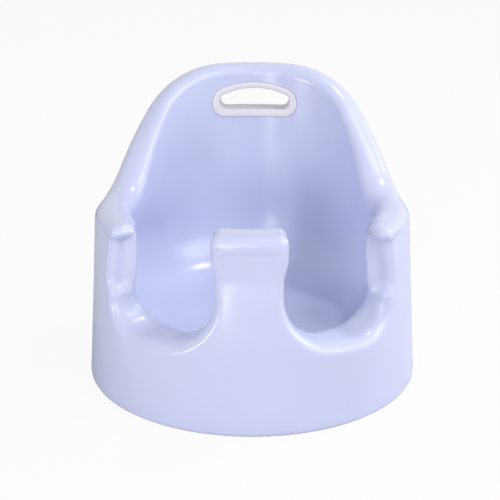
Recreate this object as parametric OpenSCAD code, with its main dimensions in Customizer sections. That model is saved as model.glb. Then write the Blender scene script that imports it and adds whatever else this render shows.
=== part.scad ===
// Baby floor seat: one soft moulded tub with a high back, leg openings and a
// pommel, a rigid hand hold clamped through the top of the back, and foot pads.
// Millimetres, +Z up, the child faces -Y, origin on the floor under the middle.

/* [Tub] */
// Outside diameter at the floor
base_d = 370; // [362:1:378]
// Inward slope of the outside wall, degrees
wall_draft = 3.3; // [3:0.1:3.6]
// Thickness of the wall
wall_t = 30; // [28:0.5:32]
// Radius of the rounded edge at the floor
foot_edge_r = 5; // [4:0.5:7]
// Height of the seat pan above the floor
pan_z = 70; // [68:1:74]
// Radius between the pan and the wall inside
bowl_r = 66; // [60:1:70]

/* [Rim heights] */
// Top of the pommel
pommel_z = 216; // [213:1:219]
// Bottom of a leg opening beside the pommel
leg_z = 96; // [94:1:98]
// Bottom of a leg opening beside the arm
leg_far_z = 88; // [86:1:90]
// Top of an arm at its front end
arm_z = 202; // [200:1:204]
// Top of an arm where it meets the back
arm_rear_z = 195; // [194:0.5:198]
// Top of the back
back_z = 311.5; // [308:0.5:315]

/* [Back] */
// Backward lean of the top of the back, degrees
back_lean = 5; // [4.5:0.1:5.5]
// Height where the back starts to lean
lean_from = 110; // [105:1:115]
// Hollow radius where an arm turns up into the back
shoulder_r = 58; // [50:1:64]
// Round radius at the upper corners of the back
crown_r = 130; // [125:1:134]
// Slope of the rim between arm and back, degrees
shoulder_slope = 46; // [45:0.5:47]
// Distance round the wall from the front to the foot of that slope
shoulder_at = 307; // [304:1:310]

/* [Pommel] */
// Half width of the head
head_half = 41; // [40:0.5:42]
// Half width of the neck below it
neck_half = 36.5; // [36:0.5:37.5]
// Extra thickness of the pommel, inward
pommel_extra = 12; // [10:0.5:14]
// Radius of the upper corners of the head
head_corner_r = 13; // [12:0.5:14]
// Height of the crease between head and neck
crease_z = 165; // [163:1:167]
// Depth by which the neck front lies behind the drum
neck_depth = 6; // [5:0.5:7]
// Depth of the panel in the front of the head
panel_depth = 1.4; // [1:0.1:1.8]
// Half width of that panel
panel_half = 30; // [28:0.5:31]
// Height of the top of that panel
panel_top_z = 201; // [199:1:203]

/* [Leg openings and arms] */
// Distance round the wall from the front to the end of an arm
arm_at = 160.5; // [158:0.5:163]
// Fillet of a leg opening beside the pommel
leg_in_r = 56; // [54:1:58]
// Fillet of a leg opening beside the arm
leg_out_r = 34; // [33:0.5:35]
// Depth of the tray groove in the end of an arm
groove_depth = 6; // [5:0.5:7]
// Share of that depth which is left at the inner edge of the groove
groove_lip = 0.6; // [0.5:0.05:0.7]
// Height of the crease under the nose, over the groove
nose_crease_z = 184; // [183:0.5:185]

/* [Hand hold] */
// Width of the ring
ring_w = 99.5; // [98:0.5:101]
// Height of the ring
ring_h = 41; // [40.5:0.5:42]
// Width of the ring's sides beside the finger hole
ring_side = 9; // [9:0.25:9.5]
// Width of the ring's top and bottom over and under the finger hole
ring_bar = 8; // [7.75:0.25:8.25]
// Drop from the top of the back to the middle of the ring
ring_drop = 39.5; // [38:0.5:41]
// Thickness of each flange
flange_t = 3.5; // [3.3:0.1:3.7]
// Wall of the sleeve that lines the slot
sleeve_t = 1.8; // [1.7:0.1:1.9]

/* [Foot pads] */
// Diameter of a pad
pad_d = 24; // [20:1:28]
// Thickness of a pad
pad_t = 3; // [2.5:0.1:3.5]
// Depth of its socket in the tub
pad_socket = 2; // [1.5:0.1:2.2]
// Distance of a pad from the middle
pad_at = 153; // [148:1:158]

/* [Hidden] */

foam_colour = "lavender";
trim_colour = "gainsboro";
pad_colour = "slategray";
screw_colour = "silver";

// ---- Placing ----
// Radius at which distances round the wall are measured, and half of the way round
ref_r = base_d * 0.4378;
half_turn = ref_r * PI;
// The tub stands on its pads, this far off the floor
lift = pad_t - pad_socket;
// Length over which the lean of the back sets in
lean_soft = 40;
// Shift that puts the middle of the whole depth over the origin
crest_roll = 14;
crest_r = wall_r(180, back_z - crest_roll);
shift_y = (base_d / 2 - crest_r) / 2;

// ---- Rim ----
// Corners of the rim in the unrolled wall, from the middle of the pommel to the
// middle of the back: [distance round, height, fillet, outer roll, inner roll,
// outer roll depth, inner roll depth]
head_roll = [11, 8, 11, 8];
neck_roll = [11, 8, 9, 7];
leg_roll = [20, 13, 12, 8];
groove_roll = [5, 11, 5, 9];
nose_roll = [13, 13, 5, 7];
arm_roll = [17, 13, 17, 12];
back_roll = [crest_roll, 14, 14, 11];
head_low_z = 188;
neck_z = 170;
ledge_z = 124;
ledge_rise = 10;
ledge_r = 8;
crease_r = 4;
groove_at = arm_at + 3;
nose_lift = 6;
nose_low_r = 6;
nose_top_r = 9;
waist_r = 20;
slope_run = (back_z - arm_rear_z) / tan(shoulder_slope);
rim_corners = [
    concat([0, pommel_z, 0], head_roll),
    concat([head_half, pommel_z, head_corner_r], head_roll),
    concat([head_half, head_low_z, waist_r], head_roll),
    concat([neck_half, neck_z, waist_r], neck_roll),
    concat([neck_half, leg_z, leg_in_r], leg_roll),
    concat([arm_at, leg_far_z, leg_out_r], leg_roll),
    concat([arm_at, ledge_z, ledge_r], groove_roll),
    concat([groove_at, ledge_z + ledge_rise, ledge_r], groove_roll),
    concat([groove_at, nose_crease_z, crease_r], groove_roll),
    concat([groove_at - groove_depth, nose_crease_z + nose_lift, nose_low_r], nose_roll),
    concat([groove_at - groove_depth, arm_z, nose_top_r], nose_roll),
    concat([shoulder_at, arm_rear_z, shoulder_r], arm_roll),
    concat([shoulder_at + slope_run, back_z, crown_r], back_roll),
    concat([half_turn, back_z, 0], back_roll)
];
// Spacing of the columns along the rim
straight_step = 12;
arc_step = 11;
small_share = 0.42;

// ---- Grid of the wall ----
outer_rows = 8;
inner_rows = 8;
roll_rows = 4;
// Reach over which the columns' starting directions and their feet are evened out
turn_reach = 9;
roll_reach = 18;
foot_reach = 110;
height_pull = 2.5;
// The columns of the pommel gather to this share of their feet's spread, then fan out
gather = 0.3;
gather_from = 5;
gather_to = 80;
// Those of the arms' ends bow outward
arm_spread = 30;
arm_ahead = 10;
arm_reach = 70;
// Height share at which the columns turn down
turn_share = 0.8;

function clamp(x, lo, hi) = min(hi, max(lo, x));
function ease(x) = let (c = clamp(x, 0, 1)) c * c * (3 - 2 * c);
function mix(p, q, t) = p * (1 - t) + q * t;
function unit(v) = v / norm(v);
function flat(p) = [p[0], p[1]];

// ---- Surfaces of the wall ----
function drum_r(z) = base_d / 2 - z * tan(wall_draft);
function lean_run(z) = let (x = max(0, z - lean_from)) x * x / (x + lean_soft);
function back_share(phi) = pow((1 - cos(phi)) / 2, 3);
function wall_r(phi, z) =
    drum_r(z) + back_share(phi) * lean_run(z) * (tan(back_lean) + tan(wall_draft));
// Share of the pommel's own shape, which ends beyond its neck
pommel_blend_from = 16;
pommel_blend_to = 28;
function pommel_share(phi) =
    ease((pommel_blend_to - abs(phi)) / (pommel_blend_to - pommel_blend_from));
// The neck slopes back from the drum up to the crease, and the head stands upright
flare_z = 100;
flare_power = 1.6;
function neck_in(z) =
    z < flare_z ? 0
    : z < crease_z ? neck_depth * pow((z - flare_z) / (crease_z - flare_z), flare_power)
    : max(0, neck_depth - (z - crease_z) * tan(wall_draft));
// Outside, the arm's end stands out over a soft crease that climbs away from its nose
nose_crease_at = 57;
nose_crease_slope = 0.6;
nose_crease_depth = 3;
nose_crease_soft = 5;
nose_crease_fade = [140, 185];
nose_crease_reach = [40, 50, 60, 76];
function nose_in(phi, z) =
    let (
        line = nose_crease_z + 3 + (abs(phi) - nose_crease_at) * nose_crease_slope,
        fade = nose_crease_fade,
        reach = nose_crease_reach
    )
    nose_crease_depth
        * ease((line - z) / nose_crease_soft)
        * ease((z - fade[0]) / (fade[1] - fade[0]))
        * ease((abs(phi) - reach[0]) / (reach[1] - reach[0]))
        * ease((reach[3] - abs(phi)) / (reach[3] - reach[2]));
function edge_in(h) =
    h >= foot_edge_r ? 0
    : foot_edge_r - sqrt(pow(foot_edge_r, 2) - pow(foot_edge_r - h, 2));
function angle_at(a) = a / ref_r * 180 / PI;
function at_radius(r, phi, z) = [r * sin(phi), -r * cos(phi), z];

function outer(a, h) =
    let (phi = angle_at(a))
    at_radius(
        wall_r(phi, h) - pommel_share(phi) * neck_in(h) - nose_in(phi, h) - edge_in(h),
        phi,
        h
    );

// Inside, heights below the wall's foot are distances down the bowl's curve,
bowl_top = pan_z + bowl_r;
pan_h = bowl_top - bowl_r * PI / 2;
// and the groove is shallower, as its inner edge stands forward in a lip
lip_from = [122, 140];
lip_to = [186, 196];
lip_reach = 30;
function lip_shift(a, h) =
    groove_depth * groove_lip
        * ease((h - lip_from[0]) / (lip_from[1] - lip_from[0]))
        * ease((lip_to[1] - h) / (lip_to[1] - lip_to[0]))
        * ease(1 - abs(a - groove_at) / lip_reach);
function inner(a, h) =
    let (
        phi = angle_at(a - lip_shift(a, h)),
        bend = h >= bowl_top ? 0 : (bowl_top - h) / bowl_r * 180 / PI,
        z = h >= bowl_top ? h : bowl_top - bowl_r * sin(bend),
        wall = wall_r(phi, z) - wall_t - pommel_share(phi) * pommel_extra
    )
    at_radius(wall - bowl_r * (1 - cos(bend)), phi, z);

// ---- Rim line ----
// One fillet: its points as [distance, height, tangent, rolls]
function fillet(p, q, s) =
    let (
        u = unit(flat(q) - flat(p)),
        v = unit(flat(s) - flat(q)),
        turn = atan2(cross(u, v), u * v),
        side = turn > 0 ? 1 : -1,
        start = flat(q) - u * q[2] * tan(abs(turn) / 2),
        centre = start + q[2] * side * [-u.y, u.x],
        length = abs(turn) * PI / 180 * q[2],
        steps = max(2, round(length / clamp(q[2] * small_share, 1.8, arc_step)))
    )
    [for (k = [0:steps])
        let (
            c = turn * k / steps,
            d = [u.x * cos(c) - u.y * sin(c), u.x * sin(c) + u.y * cos(c)],
            at = centre - q[2] * side * [-d.y, d.x]
        )
        concat(at, d, [for (i = [3:len(q) - 1]) q[i]])
    ];

// Points between two others on a straight stretch
function between(p, q) =
    let (steps = round(norm(flat(q) - flat(p)) / straight_step))
    steps < 2 ? [] : [for (k = [1:steps - 1]) mix(p, q, k / steps)];

function end_point(p) = concat([p[0], p[1], 1, 0], [for (i = [3:len(p) - 1]) p[i]]);
last_corner = len(rim_corners) - 1;
rim_arcs = [
    for (i = [0:last_corner])
        i == 0 || i == last_corner
            ? [end_point(rim_corners[i])]
            : fillet(rim_corners[i - 1], rim_corners[i], rim_corners[i + 1])
];
rim = [
    for (i = [0:last_corner])
        let (arc = rim_arcs[i])
        each concat(
            arc,
            i == last_corner ? [] : between(arc[len(arc) - 1], rim_arcs[i + 1][0])
        )
];
columns = len(rim) - 1;
// Distance along the rim to each point
rim_run = [
    for (i = 0, s = 0; i <= columns;
        i = i + 1, s = s + (i > columns ? 0 : norm(flat(rim[i]) - flat(rim[i - 1]))))
        s
];
rim_length = rim_run[columns];

// The rim continued by its mirror images at both ends:
// [run, weight, distance, tangent, rolls]
// Higher points weigh more, so the feet keep clear of the pommel's and the arms' sides
function rim_weight(i) =
    (rim_run[min(columns, i + 1)] - rim_run[max(0, i - 1)]) / 2
        * pow(rim[i][1] / leg_z, height_pull);
function rolls(i) = [for (k = [4:7]) rim[i][k]];
long_rim = concat(
    [for (i = [columns:-1:1])
        concat([-rim_run[i], rim_weight(i), -rim[i][0], rim[i][2], -rim[i][3]], rolls(i))],
    [for (i = [0:columns])
        concat([rim_run[i], rim_weight(i), rim[i][0], rim[i][2], rim[i][3]], rolls(i))],
    [for (i = [columns - 1:-1:0])
        concat([2 * rim_length - rim_run[i], rim_weight(i), 2 * half_turn - rim[i][0],
            rim[i][2], -rim[i][3]], rolls(i))]
);
function total(v) = [for (x = v) 1] * v;
// Mean of one field of the rim near a point, nearer points counting more
function mean_near(run, reach, field) =
    let (
        near = [for (p = long_rim) if (abs(p[0] - run) < reach) p],
        share = [for (p = near) p[1] * (1 - abs(p[0] - run) / reach)]
    )
    share * [for (p = near) p[field]] / total(share);

// ---- Columns of the wall, from the floor up, over the rim and down to the pan ----
function curve(p, q, s, t) = p * pow(1 - t, 2) + q * 2 * t * (1 - t) + s * pow(t, 2);
function column(j) =
    let (
        p = rim[j],
        run = rim_run[j],
        ends = j == 0 || j == columns,
        d = unit([mean_near(run, turn_reach, 3), mean_near(run, turn_reach, 4)]),
        into = ends ? [0, -1] : [d.y, -d.x],
        foot = j == 0 ? 0 : j == columns ? half_turn : mean_near(run, foot_reach, 2),
        gathered = foot * mix(gather, 1, ease((foot - gather_from) / (gather_to - gather_from)))
            + arm_spread * ease(1 - abs(foot - arm_at - arm_ahead) / arm_reach),
        roll = [for (k = [5:8]) mean_near(run, roll_reach, k)],
        thick = norm(outer(p[0], p[1]) - inner(p[0], p[1])),
        out_start = flat(p) + into * roll[2],
        in_start = flat(p) + into * roll[3],
        out_turn = [gathered, out_start.y * turn_share],
        in_turn = [gathered, mix(pan_h, in_start.y, turn_share)]
    )
    concat(
        [for (k = [0:2]) outer(foot, foot_edge_r * (1 - cos(k * 30)))],
        [for (k = [outer_rows:-1:1])
            let (c = curve(out_start, out_turn, [foot, foot_edge_r], pow(k / outer_rows, 1.3)))
            outer(c.x, c.y)],
        [for (k = [0:roll_rows])
            let (c = flat(p) + into * roll[2] * (1 - sin(k * 90 / roll_rows)),
                w = roll[0] / thick * (1 - cos(k * 90 / roll_rows)))
            mix(outer(c.x, c.y), inner(c.x, c.y), w)],
        [for (k = [roll_rows:-1:0])
            let (c = flat(p) + into * roll[3] * (1 - sin(k * 90 / roll_rows)),
                w = roll[1] / thick * (1 - cos(k * 90 / roll_rows)))
            mix(inner(c.x, c.y), outer(c.x, c.y), w)],
        [for (k = [1:inner_rows])
            let (c = curve(in_start, in_turn, [foot, pan_h], pow(k / inner_rows, 1.2)))
            inner(c.x, c.y)]
    );

half_tub = [for (j = [0:columns]) column(j)];
tub_rows = len(half_tub[0]);
around = 2 * columns;
function flip(p) = [-p.x, p.y, p.z];
// One closed ring of points round the tub, shrunk toward the axis by a share
function ring(i, share) = [
    for (j = [0:around - 1])
        let (p = j <= columns ? half_tub[j][i] : flip(half_tub[around - j][i]))
        [p.x * share, p.y * share, p.z]
];
tub_points = concat(
    [[0, 0, 0]],
    [for (i = [0:tub_rows - 1]) each ring(i, 1)],
    ring(tub_rows - 1, 0.55),
    [[0, 0, pan_z]]
);
rings = tub_rows + 1;
tub_top = len(tub_points) - 1;
tub_faces = concat(
    [for (j = [0:around - 1]) [0, 1 + j, 1 + (j + 1) % around]],
    [for (i = [0:rings - 2], j = [0:around - 1])
        let (p = 1 + i * around, k = (j + 1) % around)
        each [[p + j, p + around + k, p + k], [p + j, p + around + j, p + around + k]]],
    [for (j = [0:around - 1])
        let (p = 1 + (rings - 1) * around)
        [p + (j + 1) % around, p + j, tub_top]]
);

// ---- Hand hold ----
// Outline with a flat foot, an arched top and rounded corners. The peak is where the
// two sides of the roof would meet, and the arch rounds it off
function hold_corners(w, h, low_r, high_r, rise, peak, arch_r) = [
    [-w / 2, -h / 2, low_r],
    [w / 2, -h / 2, low_r],
    [w / 2, h / 2 - rise, high_r],
    [0, h / 2 + peak, arch_r],
    [-w / 2, h / 2 - rise, high_r]
];
function hold_arc(p, q, s) =
    let (
        u = unit(flat(q) - flat(p)),
        v = unit(flat(s) - flat(q)),
        turn = atan2(cross(u, v), u * v),
        start = flat(q) - u * q[2] * tan(turn / 2),
        centre = start + q[2] * [-u.y, u.x]
    )
    [for (k = [0:hold_steps])
        let (c = turn * k / hold_steps)
        centre + q[2] * [u.y * cos(c) + u.x * sin(c), u.y * sin(c) - u.x * cos(c)]
    ];
hold_steps = 8;
module outline(c) {
    polygon([for (i = [0:4]) each hold_arc(c[(i + 4) % 5], c[i], c[(i + 1) % 5])]);
}
ring_low_r = 15.5;
ring_high_r = 17;
ring_rise = 11.5;
ring_peak = 7.5;
ring_arch_r = 106;
module ring_outline(grow = 0) {
    outline(hold_corners(ring_w + 2 * grow, ring_h + 2 * grow, ring_low_r + grow,
        ring_high_r + grow, ring_rise, ring_peak, ring_arch_r + grow));
}
// The hole lies a little above the middle of the ring
hole_up = 1.1;
hole_w = ring_w - 2 * ring_side;
hole_h = ring_h - 2 * ring_bar;
hole_low_r = 8;
hole_high_r = 6;
hole_rise = 9.2;
hole_peak = 6.3;
hole_arch_r = 90;
module hole_outline(grow = 0) {
    translate([0, hole_up])
        outline(hold_corners(hole_w + 2 * grow, hole_h + 2 * grow, hole_low_r + grow,
            hole_high_r + grow, hole_rise, hole_peak, hole_arch_r + grow));
}

// Frame of the hand hold: its origin on the inside of the back, y through the wall
ring_z = back_z + lift - ring_drop;
inside_r = wall_r(180, ring_z - lift) - wall_t;
module at_hold() {
    translate([0, inside_r + shift_y, ring_z])
        rotate([-back_lean, 0, 0])
            children();
}
module slab(y, t) {
    translate([0, y + t, 0])
        rotate([90, 0, 0])
            linear_extrude(t)
                children();
}
module rod(y, length, d) {
    translate([0, y, 0])
        rotate([-90, 0, 0])
            cylinder(d = d, h = length, $fn = 32);
}
// Everything nearer than a depth in the curved wall, measured from its inside
module nearer(depth) {
    translate([0, -inside_r, -ring_h])
        cylinder(r = inside_r + depth, h = 2 * ring_h, $fn = 180);
}
function depth_at(depth, x) = sqrt(pow(inside_r + depth, 2) - x * x) - inside_r;

// The rings curve with the wall and stand proud of it
front_proud = 2;
rear_proud = 0.4;
front_seat = flange_t - front_proud;
rear_seat = wall_t + rear_proud - flange_t;
rear_face = wall_t + rear_proud;
foam_gap = 0.25;
seat_gap = 0.1;
rear_sleeve = 3;
sleeve_split = depth_at(rear_seat, ring_w / 2) - rear_sleeve;
split_gap = 0.2;
// Reach of cuts and blanks beyond the wall
reach = 20;

// Screws
screw_d = 3;
screw_clear = 0.2;
boss_d = 6;
head_d = 5;
head_h = 1.4;
head_sink = 0.7;
screw_length = 16;
screw_hole_from = 2;
// The bosses stand this far inside the ring's edge, merging with the sleeve
boss_inset = 4.5;
boss_x = ring_w * 0.26;
boss_up = 1.5;
boss_places = [
    [-boss_x, -ring_h / 2 + boss_inset],
    [boss_x, -ring_h / 2 + boss_inset],
    [-ring_w / 2 + boss_inset, boss_up],
    [ring_w / 2 - boss_inset, boss_up]
];
module at_bosses() {
    for (p = boss_places)
        translate([p.x, 0, p.y])
            children();
}
// The screws' heads lie below the rear ring's curved face
module at_heads() {
    for (p = boss_places)
        translate([p.x, depth_at(rear_face, p.x) - head_sink, p.y])
            children();
}

// ---- Sub-parts ----
underside_r = 128;
underside_depth = 6;
module pad_places(side_x, side_y) {
    translate([side_x * pad_at * sin(45), side_y * pad_at * cos(45) + shift_y, 0])
        children();
}
pad_gap = 0.3;
pad_chamfer = 0.6;

// Shallow panel in the front of the pommel's head
panel_reach = 12;
module panel_cut() {
    face_r = drum_r(crease_z) - neck_depth;
    translate([0, shift_y, lift])
        intersection() {
            difference() {
                cylinder(r = face_r + panel_reach, h = panel_top_z, $fn = 72);
                translate([0, 0, -1])
                    cylinder(r = face_r - panel_depth, h = panel_top_z + 2, $fn = 72);
            }
            translate([-panel_half, -face_r - panel_reach, crease_z])
                cube([2 * panel_half, 40, panel_top_z - crease_z]);
        }
}

// The facets lie a hair inside the true drum, so the tub is drawn out to its full width
module seat_body() {
    color(foam_colour)
        resize([base_d, 0, 0])
            difference() {
                translate([0, shift_y, lift])
                    polyhedron(points = tub_points, faces = tub_faces, convexity = 10);
                at_hold() {
                    intersection() {
                        slab(-2 * reach, 3 * reach)
                            ring_outline(foam_gap);
                        nearer(front_seat + seat_gap);
                    }
                    difference() {
                        slab(0, wall_t + reach)
                            ring_outline(foam_gap);
                        nearer(rear_seat - seat_gap);
                    }
                    slab(-reach, wall_t + 2 * reach)
                        hole_outline(sleeve_t + foam_gap);
                    at_bosses()
                        rod(-reach, wall_t + 2 * reach, boss_d + 2 * foam_gap);
                }
                translate([0, shift_y, lift - 1])
                    cylinder(r = underside_r, h = underside_depth + 1, $fn = 72);
                for (x = [-1, 1], y = [-1, 1])
                    pad_places(x, y)
                        cylinder(d = pad_d + pad_gap, h = lift + pad_socket, $fn = 32);
                panel_cut();
            }
}

module handle_front_frame() {
    color(trim_colour)
        at_hold()
            difference() {
                union() {
                    intersection() {
                        slab(-reach, wall_t)
                            ring_outline();
                        nearer(front_seat);
                    }
                    slab(-reach, sleeve_split + reach)
                        hole_outline(sleeve_t);
                    intersection() {
                        at_bosses()
                            rod(-reach, wall_t + reach, boss_d);
                        nearer(rear_seat - split_gap);
                    }
                }
                nearer(-front_proud);
                slab(-2 * reach, wall_t + 3 * reach)
                    hole_outline();
                at_bosses()
                    rod(screw_hole_from, wall_t, screw_d + screw_clear);
            }
}

module handle_rear_frame() {
    color(trim_colour)
        at_hold()
            difference() {
                union() {
                    difference() {
                        intersection() {
                            slab(0, wall_t + reach)
                                ring_outline();
                            nearer(rear_face);
                        }
                        nearer(rear_seat);
                    }
                    intersection() {
                        slab(sleeve_split + split_gap, wall_t)
                            hole_outline(sleeve_t);
                        nearer(rear_face);
                    }
                }
                slab(-reach, wall_t + 2 * reach)
                    hole_outline();
                at_heads() {
                    rod(-wall_t, wall_t + reach, screw_d + screw_clear);
                    rod(-head_h, reach, head_d + 2 * screw_clear);
                }
            }
}

// Cross recess of a screw head
cross_l = 2.6;
cross_w = 0.7;
cross_h = 0.8;
module cross_slot() {
    for (turn = [0, 90])
        rotate([0, turn, 0])
            translate([-cross_l / 2, -cross_h, -cross_w / 2])
                cube([cross_l, cross_h + 1, cross_w]);
}

module handle_screws() {
    color(screw_colour)
        at_hold()
            at_heads()
                difference() {
                    union() {
                        rod(-head_h, head_h, head_d);
                        rod(-screw_length, screw_length - 1, screw_d);
                    }
                    cross_slot();
                }
}

module foot_pad(side_x, side_y) {
    color(pad_colour)
        pad_places(side_x, side_y)
            rotate_extrude($fn = 48)
                polygon([
                    [0, 0],
                    [pad_d / 2 - pad_chamfer, 0],
                    [pad_d / 2, pad_chamfer],
                    [pad_d / 2, pad_t],
                    [0, pad_t]
                ]);
}
module foot_front_left() { foot_pad(-1, -1); }
module foot_front_right() { foot_pad(1, -1); }
module foot_rear_left() { foot_pad(-1, 1); }
module foot_rear_right() { foot_pad(1, 1); }

seat_body();
handle_front_frame();
handle_rear_frame();
handle_screws();
foot_front_left();
foot_front_right();
foot_rear_left();
foot_rear_right();
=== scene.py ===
"""A baby floor seat: a moulded foam tub, the hand hold through its back, its screws and feet."""

import math

import bpy
import numpy as np
from bpy.props import FloatProperty, FloatVectorProperty, PointerProperty
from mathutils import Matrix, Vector


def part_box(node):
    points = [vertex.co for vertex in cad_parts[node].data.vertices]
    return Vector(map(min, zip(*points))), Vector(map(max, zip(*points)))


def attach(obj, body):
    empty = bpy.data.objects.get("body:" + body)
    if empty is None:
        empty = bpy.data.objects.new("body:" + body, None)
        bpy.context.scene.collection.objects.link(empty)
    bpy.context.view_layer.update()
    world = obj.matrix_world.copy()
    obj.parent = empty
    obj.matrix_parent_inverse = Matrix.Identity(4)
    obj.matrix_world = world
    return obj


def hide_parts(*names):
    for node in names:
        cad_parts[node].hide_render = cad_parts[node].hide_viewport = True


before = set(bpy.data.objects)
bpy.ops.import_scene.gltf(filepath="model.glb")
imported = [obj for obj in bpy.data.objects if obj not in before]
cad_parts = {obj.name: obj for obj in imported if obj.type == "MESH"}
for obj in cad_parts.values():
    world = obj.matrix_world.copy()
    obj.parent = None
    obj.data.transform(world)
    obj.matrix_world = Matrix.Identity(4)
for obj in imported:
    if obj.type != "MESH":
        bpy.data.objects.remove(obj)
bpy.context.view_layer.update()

bl_info = {
    "name": "Baby Floor Seat",
    "version": (1, 0, 0),
    "blender": (4, 5, 0),
    "location": "View3D > Sidebar > Floor Seat",
    "description": "Models and finishes a moulded foam floor seat for a baby",
    "category": "Object",
}

FEET = [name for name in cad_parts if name.startswith("foot_")]
# The sizes below are in millimetres, and the meshes are in metres
MM = 0.001


# ---- Colours ----
def linear(hex_value):
    """The linear colour of an sRGB hex value."""
    parts = [int(hex_value[i:i + 2], 16) / 255 for i in (1, 3, 5)]
    return tuple(c / 12.92 if c <= 0.04045 else ((c + 0.055) / 1.055) ** 2.4 for c in parts)


# ---- Sizes ----
class SeatSizes(bpy.types.PropertyGroup):
    base_diameter: FloatProperty(
        name="Base diameter", description="Outside diameter of the tub at the floor",
        default=0.370, unit="LENGTH")
    wall_thickness: FloatProperty(
        name="Wall thickness", description="Thickness of the foam wall",
        default=0.030, unit="LENGTH")
    wall_draft: FloatProperty(
        name="Wall slope", description="Inward slope of the outside wall",
        default=math.radians(3.3), subtype="ANGLE")
    back_lean: FloatProperty(
        name="Back lean", description="Backward lean of the top of the back",
        default=math.radians(5), subtype="ANGLE")
    pan_height: FloatProperty(
        name="Pan height", description="Height of the pan above the underside",
        default=0.070, unit="LENGTH")
    back_height: FloatProperty(
        name="Back height", description="Height of the top of the back above the underside",
        default=0.3115, unit="LENGTH")
    pommel_height: FloatProperty(
        name="Pommel height", description="Height of the pommel's top above the underside",
        default=0.217, unit="LENGTH")
    arm_height: FloatProperty(
        name="Arm height", description="Height of an arm's front end above the underside",
        default=0.202, unit="LENGTH")
    skin_colour: FloatVectorProperty(
        name="Skin", description="Colour of the foam's skin", subtype="COLOR",
        size=3, min=0, max=1, default=linear("#C6CBE9"))


class HoldSizes(bpy.types.PropertyGroup):
    ring_width: FloatProperty(
        name="Ring width", description="Width of the hand hold's rings",
        default=0.0995, unit="LENGTH")
    ring_height: FloatProperty(
        name="Ring height", description="Height of the hand hold's rings",
        default=0.041, unit="LENGTH")
    hole_width: FloatProperty(
        name="Hole width", description="Width of the finger hole",
        default=0.0815, unit="LENGTH")
    hole_height: FloatProperty(
        name="Hole height", description="Height of the finger hole",
        default=0.025, unit="LENGTH")
    ring_level: FloatProperty(
        name="Ring level", description="Height of the rings' middle above the floor",
        default=0.273, unit="LENGTH")
    edge_radius: FloatProperty(
        name="Edge radius", description="Radius of the rings' rounded edges",
        default=0.0012, unit="LENGTH")
    trim_colour: FloatVectorProperty(
        name="Trim", description="Colour of the hand hold", subtype="COLOR",
        size=3, min=0, max=1, default=linear("#DEDCE2"))


# ---- Shares and curves ----
def ease(x):
    """A share that goes softly from 0 to 1, and stays there."""
    c = np.clip(x, 0, 1)
    return c * c * (3 - 2 * c)


def rise(x, start, end):
    """A share that is 0 up to the start and 1 from the end on."""
    return ease((x - start) / (end - start))


def fall(x, start, end):
    """A share that is 1 up to the start and 0 from the end on."""
    return ease((end - x) / (end - start))


def span(x, start, full, fading, end):
    """A share that rises, stays at 1 and falls again."""
    return rise(x, start, full) * fall(x, fading, end)


def hill(x, at, reach):
    """A share that is 1 at one place and falls to 0 on both sides."""
    return ease(1 - np.abs(x - at) / reach)


def mix(p, q, t):
    return p * (1 - t) + q * t


def curve(start, turn, end, t):
    """A point on the way from start to end that leans toward the point turn."""
    return start * (1 - t) ** 2 + turn * 2 * t * (1 - t) + end * t**2


def between(start, end, steps):
    """The points of a straight line without its two ends."""
    return [mix(start, end, k / steps) for k in range(1, steps)]


def unit(u):
    return u / np.linalg.norm(u)


def fillet(before, at, after, radius, steps_for):
    """Points and directions on the arc that rounds a corner.

    The number of steps comes from the arc's length, by steps_for."""
    u, v = unit(np.subtract(at, before)), unit(np.subtract(after, at))
    turn = math.atan2(u[0] * v[1] - u[1] * v[0], u @ v)
    side = math.copysign(1, turn)
    start = at - u * radius * math.tan(abs(turn) / 2)
    centre = start + radius * side * np.array([-u[1], u[0]])
    arc = []
    for c in np.linspace(0, turn, steps_for(abs(turn) * radius) + 1):
        d = np.array([u[0] * math.cos(c) - u[1] * math.sin(c),
                      u[0] * math.sin(c) + u[1] * math.cos(c)])
        arc.append(np.array([*(centre - radius * side * np.array([-d[1], d[0]])), *d]))
    return arc


# ---- Pieces ----
def deselect():
    if bpy.context.object and bpy.context.object.mode != "OBJECT":
        bpy.ops.object.mode_set(mode="OBJECT")
    bpy.ops.object.select_all(action="DESELECT")


def choose(*pieces):
    """Selects these pieces and no others, and makes the first one active."""
    deselect()
    for piece in pieces:
        piece.select_set(True)
    bpy.context.view_layer.objects.active = pieces[0]


def loft(name, rings):
    """A closed skin through rings of points, from a grid whose ends meet.

    A ring of one repeated point closes an end."""
    rings = np.asarray(rings)
    rows, around = rings.shape[:2]
    deselect()
    bpy.ops.mesh.primitive_grid_add(x_subdivisions=around, y_subdivisions=rows - 1, size=2)
    piece = bpy.context.object
    piece.name = piece.data.name = name
    for vertex in piece.data.vertices:
        column = round((vertex.co.x + 1) / 2 * around) % around
        row = round((vertex.co.y + 1) / 2 * (rows - 1))
        vertex.co = Vector(rings[row, column]) * MM
    bpy.ops.object.mode_set(mode="EDIT")
    bpy.ops.mesh.select_all(action="SELECT")
    bpy.ops.mesh.remove_doubles(threshold=0.01 * MM)
    bpy.ops.mesh.normals_make_consistent(inside=False)
    bpy.ops.object.mode_set(mode="OBJECT")
    return piece


def cut(piece, cutter, solver="FAST"):
    """Takes the room of a cutter out of a piece, and deletes the cutter."""
    choose(piece)
    added = piece.modifiers.new("Cut", "BOOLEAN")
    added.operation = "DIFFERENCE"
    added.solver = solver
    added.object = cutter
    bpy.ops.object.modifier_apply(modifier=added.name)
    bpy.data.objects.remove(cutter)


def weld(piece, reach=0.02):
    """Merges the slivers that cuts leave behind."""
    choose(piece)
    bpy.ops.object.mode_set(mode="EDIT")
    bpy.ops.mesh.select_all(action="SELECT")
    bpy.ops.mesh.remove_doubles(threshold=reach * MM)
    bpy.ops.mesh.dissolve_degenerate(threshold=reach * MM)
    bpy.ops.mesh.select_all(action="SELECT")
    bpy.ops.mesh.delete_loose(use_verts=True, use_edges=True, use_faces=False)
    bpy.ops.object.mode_set(mode="OBJECT")


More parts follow.
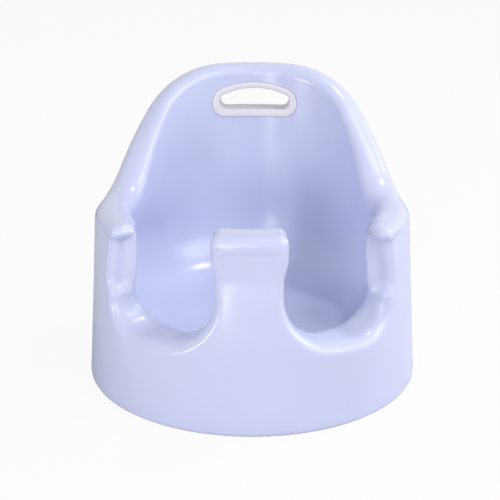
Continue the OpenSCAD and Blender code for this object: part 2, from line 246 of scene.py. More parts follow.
def join(*pieces):
    choose(*pieces)
    bpy.ops.object.join()
    return pieces[0]


def smooth(piece, degrees=40):
    """Shades a piece smooth, but for the edges that turn by more than this angle."""
    choose(piece)
    bpy.ops.object.shade_smooth_by_angle(angle=math.radians(degrees))


def coat(piece, material):
    piece.data.materials.clear()
    piece.data.materials.append(material)


def place(piece, material, slot, *nodes):
    """Gives a piece its finish, and puts it in the frame in place of its CAD nodes."""
    coat(piece, material)
    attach(piece, "root")
    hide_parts(*nodes)


# ---- The tub's wall ----
class Wall:
    """Turns a distance round the unrolled wall and a height on it into points on its two faces.

    A distance a and an angle phi both start at the middle of the front, and a height h or z
    starts at the underside. Below the bowl's top, h follows the curve down to the pan."""

    # The pads hold the underside this far above the floor
    lift = 1
    # The share of the base diameter that is the radius of the unrolled wall
    unrolled_share = 0.4378
    foot_edge_r = 5
    bowl_r = 66
    crest_roll = 14
    # The back starts to lean softly at this height, and the power keeps the lean off the sides
    lean_from = 110
    lean_soft = 40
    lean_power = 3
    # The pommel is thicker inside; outside, its neck draws in up to a crease, and its head is upright
    pommel_extra = 12
    pommel_blend = (16, 28)
    neck_depth = 6
    crease_z = 165
    flare_z = 100
    flare_power = 1.6
    # The head's sides run nearly straight back, where the wall's own would close in
    head_edge = 41
    head_widen = 7
    head_rise = (140, 190)
    # The shallow panel in the front of the pommel's head: half width, bottom, top, depth
    panel = (30, 165, 201, 1.4)
    panel_foot_soft = 5
    panel_soft = 6
    # The arm's end stands out over a soft diagonal crease: a height, its angle, and the slope
    nose_line = (187, 57, 0.6)
    nose_depth = 3
    nose_soft = 5
    nose_rise = (140, 185)
    nose_span = (40, 50, 60, 76)
    # The groove under the nose
    groove_at = 163.5
    groove_reach = 36
    groove_span = (122, 140, 181, 193)
    # It keeps a lip along its inner edge, which is full at this share of the wall
    lip = 5
    lip_full = 0.95
    # Between that lip and the outer edge the groove is hollowed to a channel
    channel = 5.5
    channel_at = 0.48
    channel_half = 0.42
    # and its outer edge stands back
    set_back = 8
    # An arm swells inward behind its nose
    arm_extra = 11
    swell_span = (57, 74, 110, 150)
    swell_rise = (120, 185)

    def __init__(self, sizes):
        diameter = sizes.base_diameter / MM
        self.base_r = diameter / 2
        self.thickness = sizes.wall_thickness / MM
        self.slope = math.tan(sizes.wall_draft)
        self.lean = math.tan(sizes.back_lean)
        self.pan_z = sizes.pan_height / MM
        self.back_z = sizes.back_height / MM
        self.ref_r = diameter * self.unrolled_share
        self.half_turn = self.ref_r * math.pi
        self.bowl_top = self.pan_z + self.bowl_r
        self.pan_h = self.bowl_top - self.bowl_r * math.pi / 2
        # The tub moves forward by this much, so that its whole depth is centred
        crest_r = self.radius(180, self.back_z - self.crest_roll)
        self.shift_y = (self.base_r - crest_r) / 2

    def drum(self, z):
        return self.base_r - z * self.slope

    def radius(self, phi, z):
        above = np.maximum(0, z - self.lean_from)
        back = ((1 - np.cos(np.radians(phi))) / 2) ** self.lean_power
        return self.drum(z) + back * above**2 / (above + self.lean_soft) * (self.lean + self.slope)

    def pommel_share(self, phi):
        return fall(np.abs(phi), *self.pommel_blend)

    def neck_in(self, z):
        up = np.clip((z - self.flare_z) / (self.crease_z - self.flare_z), 0, 1)
        head = np.maximum(0, self.neck_depth - (z - self.crease_z) * self.slope)
        return np.where(z < self.crease_z, self.neck_depth * up**self.flare_power, head)

    def panel_in(self, phi, z):
        half, low, high, depth = self.panel
        side = self.drum(z) * np.radians(np.abs(phi))
        foot = ease((z - low) / self.panel_foot_soft + 0.5)
        head = ease((high - z) / self.panel_soft + 0.5)
        return depth * foot * head * ease((half - side) / self.panel_soft + 0.5)

    def nose_in(self, phi, z):
        level, at, slope = self.nose_line
        line = level + (phi - at) * slope
        below = ease((line - z) / self.nose_soft) * rise(z, *self.nose_rise)
        return self.nose_depth * below * span(phi, *self.nose_span)

    def arm_share(self, phi, z):
        return span(phi, *self.swell_span) * rise(z, *self.swell_rise)

    def groove_share(self, a, h):
        return span(h, *self.groove_span) * hill(a, self.groove_at, self.groove_reach)

    def edge_in(self, h):
        low = np.clip(self.foot_edge_r - h, 0, self.foot_edge_r)
        return self.foot_edge_r - np.sqrt(self.foot_edge_r**2 - low**2)

    def widen(self, a, h):
        out = np.minimum(a / self.head_edge, 1) * self.pommel_share(np.degrees(a / self.ref_r))
        return self.head_widen * out * rise(h, *self.head_rise)

    def at_radius(self, r, phi, z):
        """Points from a radius, an angle and a height; adding 0 * r gives z the shape of r."""
        turn = np.radians(phi)
        return np.stack([r * np.sin(turn), -r * np.cos(turn), z + 0 * r], axis=-1)

    def drum_face(self, a, h):
        """The outside without the groove's set-back edge."""
        phi = np.degrees(a / self.ref_r)
        pommel = self.pommel_share(phi) * self.neck_in(h) + self.panel_in(phi, h)
        r = self.radius(phi, h) - pommel - self.nose_in(phi, h) - self.edge_in(h)
        return self.at_radius(r, phi, h)

    def bowl(self, a, h):
        """The inside without the groove's lip and the head's wider sides."""
        phi = np.degrees(a / self.ref_r)
        bend = np.maximum(0, self.bowl_top - h) / self.bowl_r
        z = np.where(h >= self.bowl_top, h, self.bowl_top - self.bowl_r * np.sin(bend))
        extra = self.pommel_share(phi) * self.pommel_extra + self.arm_share(phi, z) * self.arm_extra
        r = self.radius(phi, z) - self.thickness - extra - self.bowl_r * (1 - np.cos(bend))
        return self.at_radius(r, phi, z)

    def outer(self, a, h):
        return self.drum_face(a + self.set_back * self.groove_share(a, h), h)

    def inner(self, a, h):
        return self.bowl(a - self.lip * self.groove_share(a, h) + self.widen(a, h), h)

    def across(self, a, h, w):
        """A point in the wall, at a share of the way from its outer to its inner face."""
        lip = self.lip * rise(w, self.channel_at, self.lip_full)
        hollow = self.channel * hill(w, self.channel_at, self.channel_half)
        back = self.set_back * (1 - ease(w / self.channel_at))
        at = a - (lip - hollow - back) * self.groove_share(a, h) + w**2 * self.widen(a, h)
        return mix(self.drum_face(at, h), self.bowl(at, h), w)


# ---- The rim ----
# Roll of the wall over the rim: [outer radius, inner radius, outer reach, inner reach]
HEAD_ROLL = [11, 8, 11, 8]
NECK_ROLL = [11, 8, 9, 7]
LEG_ROLL = [17, 13, 11, 8]
GROOVE_ROLL = [8, 6, 7, 6]
NOSE_ROLL = [13, 17, 6, 12]
ARM_ROLL = [17, 21, 17, 17]
BACK_ROLL = [14, 14, 14, 11]


def rim_corners(wall, sizes):
    """Corners of the rim from the middle of the pommel to the middle of the back.

    Each one is [distance, height, fillet, roll]."""
    pommel_z = sizes.pommel_height / MM
    arm_z = sizes.arm_height / MM
    # Sides of the pommel's neck and of the leg opening, and the arm's front end
    neck, leg, nose = 36.5, 160.5, 158.5
    # Behind the arm the rim climbs to the back
    climb_from, climb_z, climb = 307, 195, math.radians(46)
    climb_run = (wall.back_z - climb_z) / math.tan(climb)
    return [
        [0, pommel_z, 0, *HEAD_ROLL],
        [wall.head_edge, pommel_z, 10, *HEAD_ROLL],
        [wall.head_edge, 188, 20, *HEAD_ROLL],
        [neck, 170, 20, *NECK_ROLL],
        [neck, 96, 56, *LEG_ROLL],
        [leg, 88, 34, *LEG_ROLL],
        [leg, 124, 8, *GROOVE_ROLL],
        [wall.groove_at, 134, 8, *GROOVE_ROLL],
        [wall.groove_at, 182.5, 12, *GROOVE_ROLL],
        [nose, 190.5, 6, *NOSE_ROLL],
        [nose, arm_z, 11, *NOSE_ROLL],
        [climb_from, climb_z, 58, *ARM_ROLL],
        [climb_from + climb_run, wall.back_z, 130, *BACK_ROLL],
        [wall.half_turn, wall.back_z, 0, *BACK_ROLL],
    ]


def rim_line(corners, straight_step=3.4, arc_step=2.8, small_share=0.16, least_step=0.7):
    """Points along the rim, closer on small fillets: [distance, height, direction, roll] each."""
    points = []
    for i, (a, h, r, *roll) in enumerate(corners):
        if i in (0, len(corners) - 1):
            arc = [np.array([a, h, 1, 0])]
        else:
            step = min(max(r * small_share, least_step), arc_step)
            arc = fillet(corners[i - 1][:2], (a, h), corners[i + 1][:2], r,
                         lambda length: max(2, round(length / step)))
        arc = [np.array([*point, *roll]) for point in arc]
        if points:
            gap = np.linalg.norm(arc[0][:2] - points[-1][:2])
            points += between(points[-1], arc[0], round(gap / straight_step))
        points += arc
    return np.array(points)


# Rows of points in the foot's edge, up the outside, over a roll, between the rolls and down inside
EDGE_ROWS, OUTER_ROWS, ROLL_ROWS, FACE_ROWS, INNER_ROWS = 4, 30, 9, 8, 30
# The powers that crowd the rows near the rim, and the share of the height where columns turn
OUTER_CROWD, INNER_CROWD, TURN_SHARE = 1.3, 1.2, 0.8


def bowed(foot):
    """Where a column turns: nearer the middle under the pommel, and further round by an arm."""
    pommel_squeeze, squeeze_ends = 0.3, (5, 80)
    arm_push, push_at, push_reach = 30, 170.5, 70
    squeezed = foot * mix(pommel_squeeze, 1, rise(foot, *squeeze_ends))
    return squeezed + arm_push * hill(foot, push_at, push_reach)


def wall_column(wall, at, into, roll, foot):
    """Points from the foot of the wall up its outside, over the rim and down the inside."""
    out_r, in_r, out_reach, in_reach = roll
    thick = np.linalg.norm(wall.outer(*at) - wall.inner(*at))
    out_share, in_share = out_r / thick, in_r / thick
    out_start, in_start = at + into * out_reach, at + into * in_reach
    out_turn = np.array([bowed(foot), out_start[1] * TURN_SHARE])
    in_turn = np.array([bowed(foot), mix(wall.pan_h, in_start[1], TURN_SHARE)])
    out_foot, in_foot = np.array([foot, wall.foot_edge_r]), np.array([foot, wall.pan_h])

    column = [wall.outer(foot, wall.foot_edge_r * (1 - math.cos(math.pi / 2 * k / EDGE_ROWS)))
              for k in range(EDGE_ROWS)]
    for k in range(OUTER_ROWS, 0, -1):
        c = curve(out_start, out_turn, out_foot, (k / OUTER_ROWS) ** OUTER_CROWD)
        column.append(wall.outer(*c))
    turns = [math.pi / 2 * k / ROLL_ROWS for k in range(ROLL_ROWS + 1)]
    for t in turns:
        c = at + into * out_reach * (1 - math.sin(t))
        column.append(wall.across(*c, out_share * (1 - math.cos(t))))
    for k in range(1, FACE_ROWS):
        column.append(wall.across(*at, mix(out_share, 1 - in_share, k / FACE_ROWS)))
    for t in reversed(turns):
        c = at + into * in_reach * (1 - math.sin(t))
        column.append(wall.across(*c, 1 - in_share * (1 - math.cos(t))))
    for k in range(1, INNER_ROWS + 1):
        c = curve(in_start, in_turn, in_foot, (k / INNER_ROWS) ** INNER_CROWD)
        column.append(wall.inner(*c))
    return column


def flat_ring(line, factor, z):
    """A level ring, from a line of points drawn in or out by a factor."""
    return np.c_[line * factor, np.full(len(line), float(z))]


def tub_rings(wall, sizes):
    """Rings of the tub: out on its underside, up, over the rim, down inside, and in on the pan."""
    # How far along the rim its direction, its roll and the columns' feet are averaged
    turn_reach, roll_reach, foot_reach = 9, 18, 110
    # Higher points weigh more, so the feet keep clear of the pommel's and the arms' sides
    height_power = 2.5
    rim = rim_line(rim_corners(wall, sizes))
    last = len(rim) - 1
    run = np.r_[0, np.cumsum(np.linalg.norm(np.diff(rim[:, :2], axis=0), axis=1))]
    width = (np.r_[run[1:], run[-1]] - np.r_[run[0], run[:-1]]) / 2
    before, after = slice(last, 0, -1), slice(last - 1, None, -1)

    def mirrored(field, sign=1):
        """A field of the half rim, continued through the mirror plane at both ends."""
        return np.r_[sign * field[before], field, sign * field[after]]

    def run_on(field):
        """A distance that grows on through both ends."""
        return np.r_[-field[before], field, 2 * field[-1] - field[after]]

    long_run = run_on(run)
    long_at = run_on(rim[:, 0])
    long_weight = mirrored(width * rim[:, 1] ** height_power)
    long_u = mirrored(rim[:, 2])
    long_v = mirrored(rim[:, 3], -1)
    long_roll = np.array([mirrored(rim[:, k]) for k in range(4, 8)])

    def near(at, reach):
        """Each point's share in an average round a place on the rim."""
        share = long_weight * np.maximum(0, 1 - np.abs(long_run - at) / reach)
        return share / share.sum()

    half = []
    for j, here in enumerate(run):
        turn = near(here, turn_reach)
        u, v = unit(np.array([turn @ long_u, turn @ long_v]))
        into = np.array([v, -u])
        foot = near(here, foot_reach) @ long_at
        roll = long_roll @ near(here, roll_reach)
        if j in (0, last):
            # These two columns lie in the mirror plane
            into, foot = np.array([0, -1.0]), rim[j, 0]
        half.append(wall_column(wall, rim[j, :2], into, roll, foot))
    half = np.array(half).transpose(1, 0, 2)
    other = half[:, last - 1:0:-1] * [-1, 1, 1]
    wall_rings = np.concatenate([half, other], axis=1)

    # The underside has a shallow hollow with soft edges, and is flat out to the foot's edge
    hollow_r, hollow_z, flat_r = 128, 6, 178.5
    hollow = [(0.001, hollow_z), (60, hollow_z), (hollow_r - 2, hollow_z),
              (hollow_r - 0.4, hollow_z - 0.4), (hollow_r, hollow_z - 1.5),
              (hollow_r, 1), (hollow_r + 0.4, 0.3), (hollow_r + 1.4, 0)]
    foot_line = wall_rings[0][:, :2]
    foot_line = foot_line / np.linalg.norm(foot_line, axis=1)[:, None]
    under = [flat_ring(foot_line, r, z) for r, z in [*hollow, (150, 0), (flat_r, 0)]]
    pan_line, pan_shares = wall_rings[-1][:, :2], (0.9, 0.7, 0.45, 0.2, 1e-5)
    pan = [flat_ring(pan_line, share, wall.pan_z) for share in pan_shares]
    return np.concatenate([under, wall_rings, pan])


# ---- The hand hold ----
def rounded(corners, arc_steps=10, straight_steps=10):
    """Points round an outline with rounded corners, anticlockwise. A corner is (x, z, radius)."""
    points = []
    for i, (x, z, r) in enumerate(corners):
        after = corners[(i + 1) % len(corners)]
        arc = fillet(corners[i - 1][:2], (x, z), after[:2], r, lambda length: arc_steps)
        arc = [point[:2] for point in arc]
        if points:
            points += between(points[-1], arc[0], straight_steps)
        points += arc
    return np.array(points + between(points[-1], points[0], straight_steps))


def hold_outline(width, height, low_r, high_r, drop, peak, arch_r, up, grow):
    """An outline with a flat foot and an arched top, grown evenly."""
    w, h = width + 2 * grow, height + 2 * grow
    return rounded([
        (-w / 2, -h / 2, low_r + grow),
        (w / 2, -h / 2, low_r + grow),
        (w / 2, h / 2 - drop, high_r + grow),
        (0, h / 2 + peak, arch_r + grow),
        (-w / 2, h / 2 - drop, high_r + grow),
    ]) + [0, up]


RING_SHAPE = dict(low_r=15.5, high_r=17, drop=11.5, peak=7.5, arch_r=106, up=0)
HOLE_SHAPE = dict(low_r=8, high_r=6, drop=9.2, peak=6.3, arch_r=90, up=1.1)


class Hold:
    """The hand hold: x across, y through the wall from its inner face, z along the leaning wall.

    The rings are curved with the wall, so a depth is measured radially from the wall's inner face.
    A side is -1 for what faces the child, and 1 for what faces back."""

    flange = 3.5
    front_proud = 2
    rear_proud = 0.4
    # Gaps between the hold and the foam: round it, and behind its rings
    gap = 0.25
    seat_gap = 0.1
    # The sleeves line the finger hole, and meet with a small gap
    sleeve = 1.8
    sleeve_chamfer = 0.3
    split_gap = 0.2
    rear_sleeve = 3
    # A ring's back edge is chamfered, and its visible side crowned between two edges
    back_chamfer = 0.4
    crown = 0.25
    crown_from_ring = 2.6
    crown_from_hole = 2.8
    edge_points = 5
    # The hole's edge is softer than the ring's by this factor
    hole_edge_factor = 1.4
    # Four bosses: two low ones at a share of the width, and two at the sides
    boss_d = 6
    boss_inset = 4.5
    boss_share = 0.26
    side_boss_z = 1.5
    boss_gap = 0.5
    # A pilot hole starts behind the front face, and runs out of its boss
    pilot = (2, 40)
    screw_d = 3.2
    head_d = 5.4
    head_sink = 0.7
    head_h = 1.4
    # Rods have this many sides, and cuts reach this far past the face or past the wall
    rod_sides = 24
    rod_reach = 20
    spool_ends = (-30, 60)

    def __init__(self, sizes, wall, lean):
        self.wall = wall
        self.lean = lean
        self.level = sizes.ring_level / MM
        self.ring = dict(width=sizes.ring_width / MM, height=sizes.ring_height / MM, **RING_SHAPE)
        self.hole = dict(width=sizes.hole_width / MM, height=sizes.hole_height / MM, **HOLE_SHAPE)
        self.edge = sizes.edge_radius / MM
        self.inside_r = wall.radius(180, self.level - wall.lift) - wall.thickness
        self.front_seat = self.flange - self.front_proud
        self.rear_face = wall.thickness + self.rear_proud
        self.rear_seat = self.rear_face - self.flange
        self.split = self.depth_at(self.rear_seat, self.ring["width"] / 2) - self.rear_sleeve
        side = self.ring["width"] / 2 - self.boss_inset
        low = -self.ring["height"] / 2 + self.boss_inset
        inner = self.ring["width"] * self.boss_share
        self.bosses = [(-inner, low), (inner, low)]
        self.bosses += [(-side, self.side_boss_z), (side, self.side_boss_z)]

    def depth_at(self, depth, x):
        """How deep a curved face lies at a place across."""
        return np.sqrt((self.inside_r + depth) ** 2 - x**2) - self.inside_r

    def put(self, x, y, z):
        """Points of the hold's frame in the seat's own."""
        c, s = math.cos(self.lean), math.sin(self.lean)
        return np.stack([x + 0 * z, self.inside_r + self.wall.shift_y + y * c + z * s,
                         self.level - y * s + z * c], axis=-1)

    def outline(self, kind, grow):
        return hold_outline(grow=grow, **(self.ring if kind == "ring" else self.hole)).T

    def curved(self, kind, grow, depth):
        """The ring's or the hole's outline on a curved face."""
        x, z = self.outline(kind, grow)
        return self.put(x, self.depth_at(depth, x), z)

    def straight(self, kind, grow, y):
        """The same outline in a flat plane across the wall."""
        x, z = self.outline(kind, grow)
        return self.put(x, np.full(len(x), float(y)), z)

    def spool(self):
        """The room that the hand hold takes in the wall: two recesses joined by a slot."""
        hole = self.sleeve + self.gap
        front, rear = self.front_seat + self.seat_gap, self.rear_seat - self.seat_gap
        return capped("spool", [
            self.straight("ring", self.gap, self.spool_ends[0]),
            self.curved("ring", self.gap, front),
            self.curved("hole", hole, front),
            self.curved("hole", hole, rear),
            self.curved("ring", self.gap, rear),
            self.straight("ring", self.gap, self.spool_ends[1]),
        ])

    def rod(self, name, x, z, start, end, diameter):
        """A round rod through the wall."""
        turn = np.linspace(0, 2 * math.pi, self.rod_sides, endpoint=False)
        across, up = x + diameter / 2 * np.cos(turn), z + diameter / 2 * np.sin(turn)
        rings = [self.put(across, np.full(len(turn), float(y)), up) for y in (start, end)]
        return capped(name, rings)

    def ring_piece(self, name, sleeve_end, seat, face, side):
        """A ring with its sleeve: round the sleeve's end, over the seat and the visible side."""
        chamfer = self.sleeve_chamfer
        sleeve = [self.straight("hole", grow, y) for grow, y in (
            (0, sleeve_end + side * chamfer), (chamfer, sleeve_end),
            (self.sleeve - chamfer, sleeve_end), (self.sleeve, sleeve_end + side * chamfer))]
        rows = [*sleeve, self.curved("hole", self.sleeve, seat)]
        rows.append(self.curved("ring", -self.back_chamfer, seat))
        rows.append(self.curved("ring", 0, seat + self.back_chamfer * side))
        e, soft = self.edge, self.edge * self.hole_edge_factor
        turns = np.linspace(0, math.pi / 2, self.edge_points)
        for t in turns:
            inset, depth = e * (1 - math.cos(t)), e * (1 - math.sin(t))
            rows.append(self.curved("ring", -inset, face - side * depth))
        rows.append(self.curved("ring", -self.crown_from_ring, face + side * self.crown))
        rows.append(self.curved("hole", self.crown_from_hole, face + side * self.crown))
        for t in turns[::-1]:
            inset, depth = soft * (1 - math.cos(t)), soft * (1 - math.sin(t))
            rows.append(self.curved("hole", inset, face - side * depth))
        return loft(name, [*rows, sleeve[0]])


def capped(name, rings):
    """A solid through rings, each end closed by one repeated point."""
    first, last = (np.repeat(rings[k].mean(axis=0)[None], len(rings[k]), axis=0) for k in (0, -1))
    return loft(name, [first, *rings, last])


# ---- Materials ----
def node(tree, kind, links=None, **settings):
    """Adds a node with its settings, and gives its sockets their values or links."""
    added = tree.nodes.new(kind)
    for key, value in settings.items():
        setattr(added, key, value)
    for key, value in (links or {}).items():
        if isinstance(value, bpy.types.NodeSocket):
            tree.links.new(value, added.inputs[key])
        else:
            added.inputs[key].default_value = value
    return added


def calculate(tree, operation, first, second):
    return node(tree, "ShaderNodeMath", {0: first, 1: second}, operation=operation).outputs[0]


def noise(tree, wave, detail):
    """A noise on the piece's own coordinates, with waves of this length in metres."""
    coordinates = node(tree, "ShaderNodeTexCoord").outputs["Object"]
    return node(tree, "ShaderNodeTexNoise", {
        "Vector": coordinates, "Scale": 1 / wave, "Detail": detail}).outputs["Fac"]


def tint(tree, share, first, second):
    """A colour that drifts between two."""
    return node(tree, "ShaderNodeMixRGB", {
        "Fac": share, "Color1": (*first, 1), "Color2": (*second, 1)}).outputs["Color"]


def shade(colour, factor):
    return tuple(min(1, c * factor) for c in colour)


def remap(tree, share, low, high, least, most):
    """Turns a share between low and high into a value between least and most."""
    return node(tree, "ShaderNodeMapRange", {
        "Value": share, "From Min": low, "From Max": high,
        "To Min": least, "To Max": most}).outputs["Result"]


def bump(tree, height, strength, distance):
    return node(tree, "ShaderNodeBump", {
        "Height": height, "Strength": strength, "Distance": distance}).outputs["Normal"]


def new_material(name):
    material = bpy.data.materials.new(name)
    material.use_nodes = True
    tree = material.node_tree
    tree.nodes.clear()
    return material, tree


def surface(tree, sockets):
    """Ends a tree with its shader."""
    shader = node(tree, "ShaderNodeBsdfPrincipled", sockets)
    node(tree, "ShaderNodeOutputMaterial", {"Surface": shader.outputs["BSDF"]})


def foam_skin(colour):
    """Integral-skin polyurethane foam from a polished tool: satin, with a shallow orange peel."""
    material, tree = new_material("integral_skin_polyurethane")
    # The skin's colour and gloss drift a little where the foam flowed, over 6 cm
    drift = noise(tree, 0.06, 2.0)
    # Fine mould grain of 1.5 mm, drawn coarser than the real 0.3 mm so that it shows
    grain = noise(tree, 0.0015, 2.0)
    # Orange peel, waves of 9 mm, which break up the highlights a little
    peel = noise(tree, 0.009, 1.0)
    height = calculate(tree, "ADD", calculate(tree, "MULTIPLY", grain, 0.12), peel)
    surface(tree, {
        "Base Color": tint(tree, drift, shade(colour, 0.97), shade(colour, 1.03)),
        "Roughness": remap(tree, drift, 0.0, 1.0, 0.20, 0.26),
        "IOR": 1.5,
        "Normal": bump(tree, height, 0.25, 0.00012)})
    return material


def moulded_abs(colour):
    """Injection-moulded ABS with a fine spark-eroded grain: semi-gloss, warm light grey."""
    material, tree = new_material("moulded_abs")
    # Grain of 1.2 mm that softens the highlights and mottles the colour faintly
    grain = noise(tree, 0.0012, 3.0)
    surface(tree, {
        "Base Color": tint(tree, grain, shade(colour, 0.96), shade(colour, 1.02)),
        "Roughness": 0.42,
        "IOR": 1.54,
        "Normal": bump(tree, grain, 0.2, 0.00008)})
    return material


def zinc_plated_steel():
    """Bright zinc-plated steel: a grey-blue metal with faint mottling from the plating bath."""
    material, tree = new_material("zinc_plated_steel")
    # Mottling of 0.8 mm, in colour and in gloss
    mottle = noise(tree, 0.0008, 3.0)
    surface(tree, {
        "Base Color": tint(tree, mottle, linear("#BFC3C8"), linear("#D3D6DA")),
        "Metallic": 1.0,
        "Roughness": remap(tree, mottle, 0.3, 0.7, 0.25, 0.4)})
    return material


def pad_rubber():
    """Thermoplastic rubber, moulded matt: soft grey with a fine grip grain."""
    material, tree = new_material("thermoplastic_rubber")
    # Grip grain of 0.9 mm, strong enough to keep the rubber dull
    grain = noise(tree, 0.0009, 3.0)
    surface(tree, {
        "Base Color": tint(tree, grain, linear("#70768A"), linear("#8087A0")),
        "Roughness": 0.8,
        "IOR": 1.5,
        "Normal": bump(tree, grain, 0.6, 0.0001)})
    return material


# ---- Operators ----
def measured(scene):
    """The wall and the hand hold, from the scene's sizes."""
    wall = Wall(scene.seat_sizes)
    return wall, Hold(scene.hold_sizes, wall, scene.seat_sizes.back_lean)


class OBJECT_OT_seat_tub(bpy.types.Operator):
    """Models the moulded tub with its back, arms and pommel"""

    bl_idname = "object.seat_tub"
    bl_label = "Moulded tub"

    socket_gap = 0.15
    socket_sides = 48

    def execute(self, context):
        sizes = context.scene.seat_sizes
        wall, hold = measured(context.scene)
        tub = loft("tub", tub_rings(wall, sizes) + [0, wall.shift_y, wall.lift])
        cut(tub, hold.spool())
        for name in FEET:
            low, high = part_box(name)
            middle, radius = (low + high) / 2, (high.x - low.x) / 2 + self.socket_gap * MM
            # A cylinder round the floor's level, which ends at the pad's top
            deselect()
            bpy.ops.mesh.primitive_cylinder_add(
                vertices=self.socket_sides, radius=radius, depth=high.z * 2,
                location=(middle.x, middle.y, 0))
            cut(tub, context.object)
        smooth(tub, 35)
        place(tub, foam_skin(sizes.skin_colour), "foam_skin", "seat_body")
        return {"FINISHED"}


class OBJECT_OT_seat_front_ring(bpy.types.Operator):
    """Models the hand hold's front ring with its sleeve and screw bosses"""

    bl_idname = "object.seat_front_ring"
    bl_label = "Front ring"

    def execute(self, context):
        hold = measured(context.scene)[1]
        ring = hold.ring_piece("front_ring", hold.split, hold.front_seat, -hold.front_proud, -1)
        smooth(ring)
        for i, (x, z) in enumerate(hold.bosses):
            end = hold.depth_at(hold.rear_seat - hold.split_gap, x) - hold.boss_gap
            boss = hold.rod(f"boss_{i}", x, z, hold.depth_at(0, x), end, hold.boss_d)
            cut(boss, hold.rod("pilot", x, z, *hold.pilot, hold.screw_d))
            smooth(boss)
            ring = join(ring, boss)
        finish = moulded_abs(context.scene.hold_sizes.trim_colour)
        place(ring, finish, "trim_plastic", "handle_front_frame")
        return {"FINISHED"}


class OBJECT_OT_seat_rear_ring(bpy.types.Operator):
    """Models the hand hold's rear ring with its sunk screw seats"""

    bl_idname = "object.seat_rear_ring"
    bl_label = "Rear ring"

    def execute(self, context):
        hold = measured(context.scene)[1]
        ring = hold.ring_piece("rear_ring", hold.split + hold.split_gap, hold.rear_seat,
                               hold.rear_face - hold.crown, 1)
        reach = hold.rod_reach
        for x, z in hold.bosses:
            top = hold.depth_at(hold.rear_face, x) - hold.head_sink
            cut(ring, hold.rod("seat", x, z, top - hold.head_h, top + reach, hold.head_d), "EXACT")
            cut(ring, hold.rod("clearance", x, z, top - reach, top, hold.screw_d), "EXACT")
        weld(ring)
        smooth(ring)
        finish = moulded_abs(context.scene.hold_sizes.trim_colour)
        place(ring, finish, "trim_plastic", "handle_rear_frame")
        return {"FINISHED"}


class OBJECT_OT_seat_screws(bpy.types.Operator):
    """Finishes the screws that clamp the hand hold"""

    bl_idname = "object.seat_screws"
    bl_label = "Screws"

    def execute(self, context):
        coat(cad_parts["handle_screws"], zinc_plated_steel())
        return {"FINISHED"}


class OBJECT_OT_seat_feet(bpy.types.Operator):
    """Finishes the anti-slip feet"""

    bl_idname = "object.seat_feet"
    bl_label = "Feet"

    def execute(self, context):
        rubber = pad_rubber()
        for name in FEET:
            coat(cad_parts[name], rubber)
        return {"FINISHED"}


# ---- The stage ----
WHITE = (1, 1, 1, 1)


def paper_floor(glow=0.93):
    """White paper that takes the seat's shadow, and glows by this share for the camera alone."""
    deselect()
    bpy.ops.mesh.primitive_plane_add(size=12, location=(0, 0, 0))
    floor = bpy.context.object
    floor.name = "floor"
    material, tree = new_material("white_paper_floor")
    rays = node(tree, "ShaderNodeLightPath").outputs
    paper = node(tree, "ShaderNodeBsdfDiffuse", {"Color": (*linear("#DCDCDE"), 1)})
    light = node(tree, "ShaderNodeEmission", {"Color": WHITE, "Strength": 1.0})
    both = node(tree, "ShaderNodeMixShader", {
        "Fac": calculate(tree, "MULTIPLY", rays["Is Camera Ray"], glow),
        1: paper.outputs["BSDF"], 2: light.outputs["Emission"]})
    node(tree, "ShaderNodeOutputMaterial", {"Surface": both.outputs["Shader"]})
    floor.data.materials.append(material)


def white_room(scene, strength=0.37):
    """A room that lights the seat faintly, and is pure white for the camera and in reflections."""
    scene.world = scene.world or bpy.data.worlds.new("studio")
    scene.world.use_nodes = True
    tree = scene.world.node_tree
    tree.nodes.clear()
    rays = node(tree, "ShaderNodeLightPath").outputs
    through = calculate(tree, "MAXIMUM", rays["Is Glossy Ray"], rays["Is Transmission Ray"])
    room = node(tree, "ShaderNodeBackground", {"Color": WHITE, "Strength": strength})
    white = node(tree, "ShaderNodeBackground", {"Color": WHITE, "Strength": 1.0})
    both = node(tree, "ShaderNodeMixShader", {
        "Fac": calculate(tree, "MAXIMUM", rays["Is Camera Ray"], through),
        1: room.outputs["Background"], 2: white.outputs["Background"]})
    node(tree, "ShaderNodeOutputWorld", {"Surface": both.outputs["Shader"]})


def soft_light(name, place_at, size, power, tall=None, aim=(0, 0, 0.15)):
    """A soft box that looks at the seat's middle: a square one, or an upright strip."""
    bpy.ops.object.light_add(type="AREA", location=place_at)
    lamp = bpy.context.object
    lamp.name = lamp.data.name = name
    lamp.rotation_euler = (Vector(aim) - Vector(place_at)).to_track_quat("-Z", "Y").to_euler()
    lamp.data.shape = "RECTANGLE"
    lamp.data.size = size
    lamp.data.size_y = tall or size
    lamp.data.energy = power


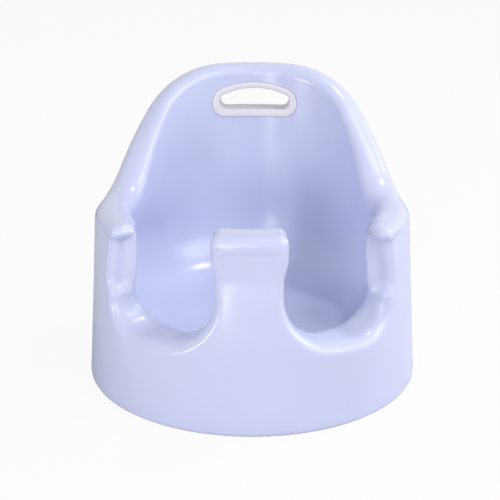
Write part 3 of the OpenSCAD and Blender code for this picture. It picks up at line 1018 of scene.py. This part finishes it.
class OBJECT_OT_seat_stage(bpy.types.Operator):
    """Sets the floor, the soft lights and the camera"""

    bl_idname = "object.seat_stage"
    bl_label = "Stage"

    camera_distance = 1.9
    camera_elevation = math.radians(21)
    camera_turn = math.radians(1.0)
    camera_aim = Vector((0, 0, 0.1413))
    camera_lens = 121.5
    camera_sensor = 36
    camera_shift = -0.0046

    def execute(self, context):
        paper_floor()
        white_room(context.scene)
        soft_light("key", (1.3, -0.65, 1.5), 1.2, 18)
        soft_light("side", (1.45, 0.4, 0.7), 0.8, 8)
        soft_light("fill", (-1.3, -1.1, 0.3), 0.3, 6)
        soft_light("front", (-0.35, -1.55, 1.15), 0.9, 5)
        soft_light("top", (0.56, 0.4, 1.55), 0.14, 4.5)
        soft_light("strip", (-0.45, -1.5, 0.4), 0.08, 4, 0.8)

        turn, up = self.camera_turn, self.camera_elevation
        back = Vector((math.sin(turn) * math.cos(up), -math.cos(turn) * math.cos(up), math.sin(up)))
        bpy.ops.object.camera_add(location=self.camera_aim + back * self.camera_distance)
        camera = context.object
        camera.name = "camera"
        camera.rotation_euler = (-back).to_track_quat("-Z", "Y").to_euler()
        camera.data.lens = self.camera_lens
        camera.data.sensor_width = self.camera_sensor
        camera.data.shift_x = self.camera_shift
        context.scene.camera = camera
        context.scene.view_settings.view_transform = "Standard"
        return {"FINISHED"}


class VIEW3D_PT_seat(bpy.types.Panel):
    bl_label = "Baby Floor Seat"
    bl_space_type = "VIEW_3D"
    bl_region_type = "UI"
    bl_category = "Floor Seat"

    def draw(self, context):
        for group in (context.scene.seat_sizes, context.scene.hold_sizes):
            box = self.layout.box()
            for name in group.__annotations__:
                box.prop(group, name)
        for operator in OPERATORS:
            self.layout.operator(operator.bl_idname)


OPERATORS = (
    OBJECT_OT_seat_tub,
    OBJECT_OT_seat_front_ring,
    OBJECT_OT_seat_rear_ring,
    OBJECT_OT_seat_screws,
    OBJECT_OT_seat_feet,
    OBJECT_OT_seat_stage,
)
CLASSES = (SeatSizes, HoldSizes, *OPERATORS, VIEW3D_PT_seat)


def register():
    for item in CLASSES:
        bpy.utils.register_class(item)
    bpy.types.Scene.seat_sizes = PointerProperty(type=SeatSizes)
    bpy.types.Scene.hold_sizes = PointerProperty(type=HoldSizes)


def unregister():
    del bpy.types.Scene.hold_sizes
    del bpy.types.Scene.seat_sizes
    for item in reversed(CLASSES):
        bpy.utils.unregister_class(item)


def main():
    register()
    bpy.ops.object.seat_tub()
    bpy.ops.object.seat_front_ring()
    bpy.ops.object.seat_rear_ring()
    bpy.ops.object.seat_screws()
    bpy.ops.object.seat_feet()
    bpy.ops.object.seat_stage()


if __name__ == "__main__":
    main()
